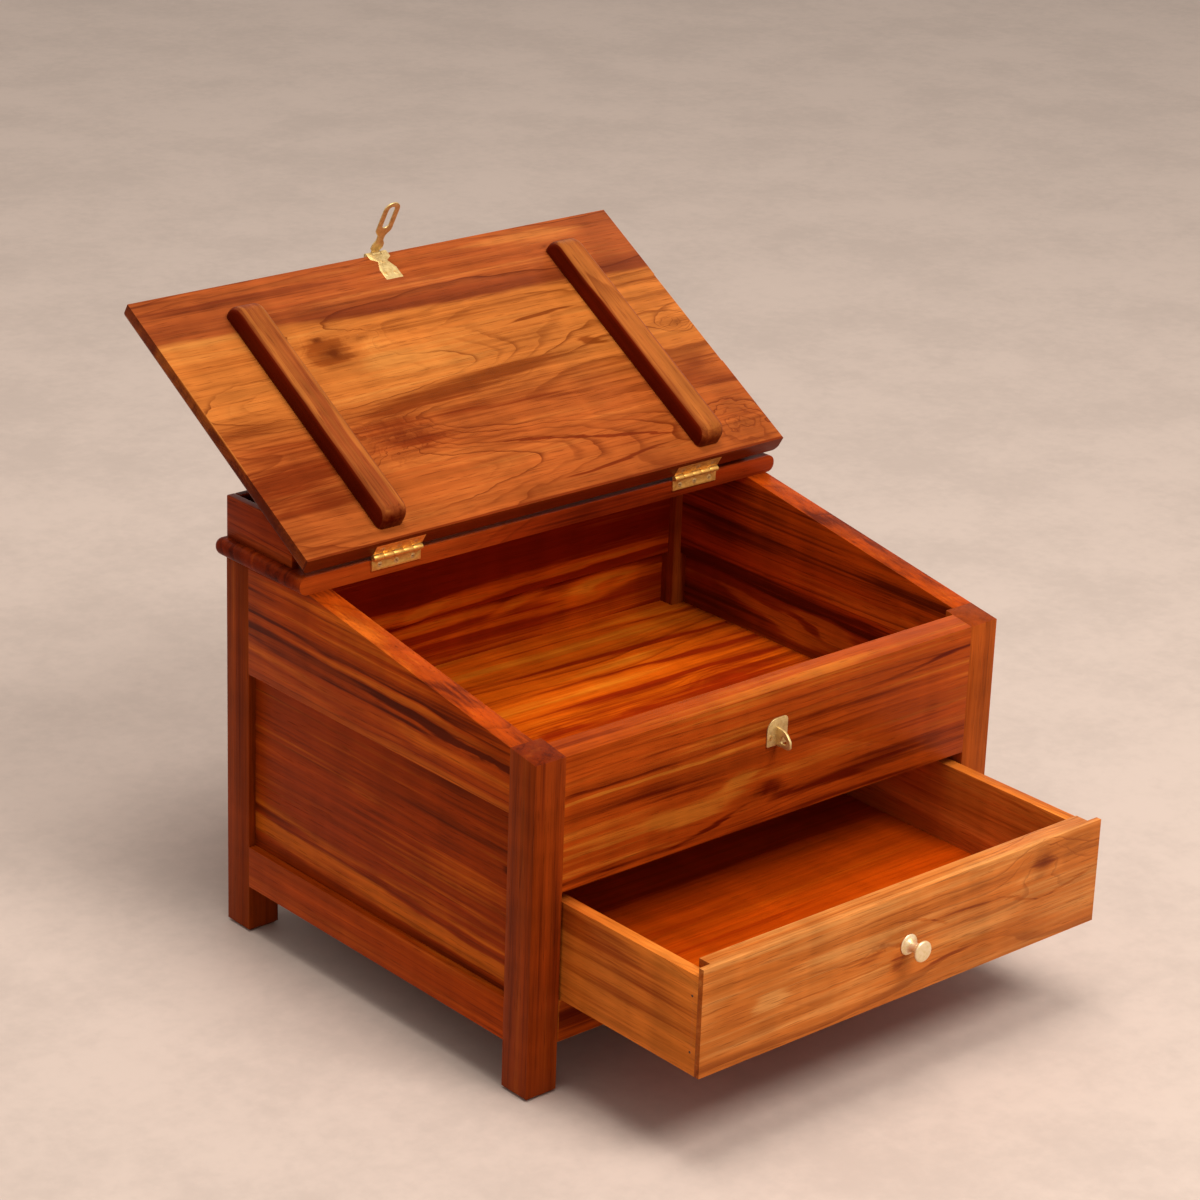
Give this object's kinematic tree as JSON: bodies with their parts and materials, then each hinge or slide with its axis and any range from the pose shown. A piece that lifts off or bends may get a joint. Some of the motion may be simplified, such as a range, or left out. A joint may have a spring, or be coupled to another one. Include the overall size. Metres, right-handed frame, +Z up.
{
  "type": "letter writing box with drawer",
  "caption": "Wooden writing box with corner posts, a sloping hinged lid with a hasp over a letter compartment, a fixed top with a low gallery, and a drawer.",
  "frame": {"origin": "on the floor, under the middle of the case's four posts", "axes": "+X to the box's right as seen from the front, +Y from the front to the back, +Z up"},
  "size_m": [0.518, 0.7015, 0.5664],
  "materials": {
    "post_wood": "clear gloss varnish over streaked reddish brown hardwood",
    "rail_wood": "clear gloss varnish over streaked reddish brown hardwood",
    "panel_wood": "clear gloss varnish over streaked reddish brown hardwood",
    "front_wood": "clear gloss varnish over streaked reddish brown hardwood",
    "inside_wood": "clear gloss varnish over streaked reddish brown hardwood",
    "floor_wood": "clear gloss varnish over streaked reddish brown hardwood",
    "top_wood": "clear gloss varnish over streaked reddish brown hardwood",
    "lid_wood": "clear gloss varnish over streaked reddish brown hardwood",
    "batten_wood": "clear gloss varnish over streaked reddish brown hardwood",
    "drawer_front_wood": "clear gloss varnish over streaked reddish brown hardwood",
    "drawer_box_wood": "clear gloss varnish over streaked reddish brown hardwood",
    "brass": "pale polished brass, slightly worn",
    "brass_screws": "countersunk brass screw heads",
    "nail_steel": "dull nail heads driven flush"
  },
  "bodies": {
    "case": {"post_front_left": "post_wood", "post_front_right": "post_wood", "post_rear_left": "post_wood", "post_rear_right": "post_wood", "side_bottom_rail_left": "rail_wood", "side_bottom_rail_right": "rail_wood", "side_top_rail_left": "rail_wood", "side_top_rail_right": "rail_wood", "front_bottom_rail": "rail_wood", "back_bottom_rail": "rail_wood", "back_top_rail": "rail_wood", "side_panel_lower_left": "panel_wood", "side_panel_lower_right": "panel_wood", "side_panel_upper_left": "panel_wood", "side_panel_upper_right": "panel_wood", "back_panel": "panel_wood", "front_top_board": "front_wood", "compartment_floor": "floor_wood", "drawer_kicker_left": "inside_wood", "drawer_kicker_right": "inside_wood", "drawer_runner_left": "inside_wood", "drawer_runner_right": "inside_wood", "drawer_guide_left": "inside_wood", "drawer_guide_right": "inside_wood", "fixed_top": "top_wood", "gallery_cheek_left": "top_wood", "gallery_cheek_right": "top_wood", "gallery_back": "top_wood", "case_hinge_leaf_left": "brass", "case_hinge_leaf_right": "brass", "hinge_pin_left": "brass", "hinge_pin_right": "brass", "hasp_staple": "brass", "case_hinge_screws": "brass_screws", "staple_screws": "brass_screws"},
    "lid": {"lid_board_rear": "lid_wood", "lid_board_middle": "lid_wood", "lid_board_front": "lid_wood", "lid_batten_left": "batten_wood", "lid_batten_right": "batten_wood", "lid_hinge_leaf_left": "brass", "lid_hinge_leaf_right": "brass", "lid_hinge_screws": "brass_screws", "hasp_base": "brass", "hasp_pin": "brass", "hasp_screws": "brass_screws"},
    "hasp_flap": {"hasp_flap": "brass"},
    "drawer": {"drawer_front": "drawer_front_wood", "drawer_side_left": "drawer_box_wood", "drawer_side_right": "drawer_box_wood", "drawer_back": "drawer_box_wood", "drawer_bottom": "drawer_box_wood", "drawer_nails": "nail_steel", "drawer_knob": "brass", "knob_screw": "brass_screws"}
  },
  "joints": [
    {"name": "lid_hinge", "type": "hinge", "parent": "case", "child": "lid", "pos_m": [0, 0.083, 0.34996], "axis": [1, 0, 0], "range_deg": [0, 158.5]},
    {"name": "hasp_hinge", "type": "hinge", "parent": "lid", "child": "hasp_flap", "pos_m": [0, 0.32674, 0.51411], "axis": [1, 0, 0], "range_deg": [-160, 0]},
    {"name": "drawer_slide", "type": "slide", "parent": "case", "child": "drawer", "axis": [0, 1, 0], "range_m": [-0.11, 0.1575]}
  ]
}
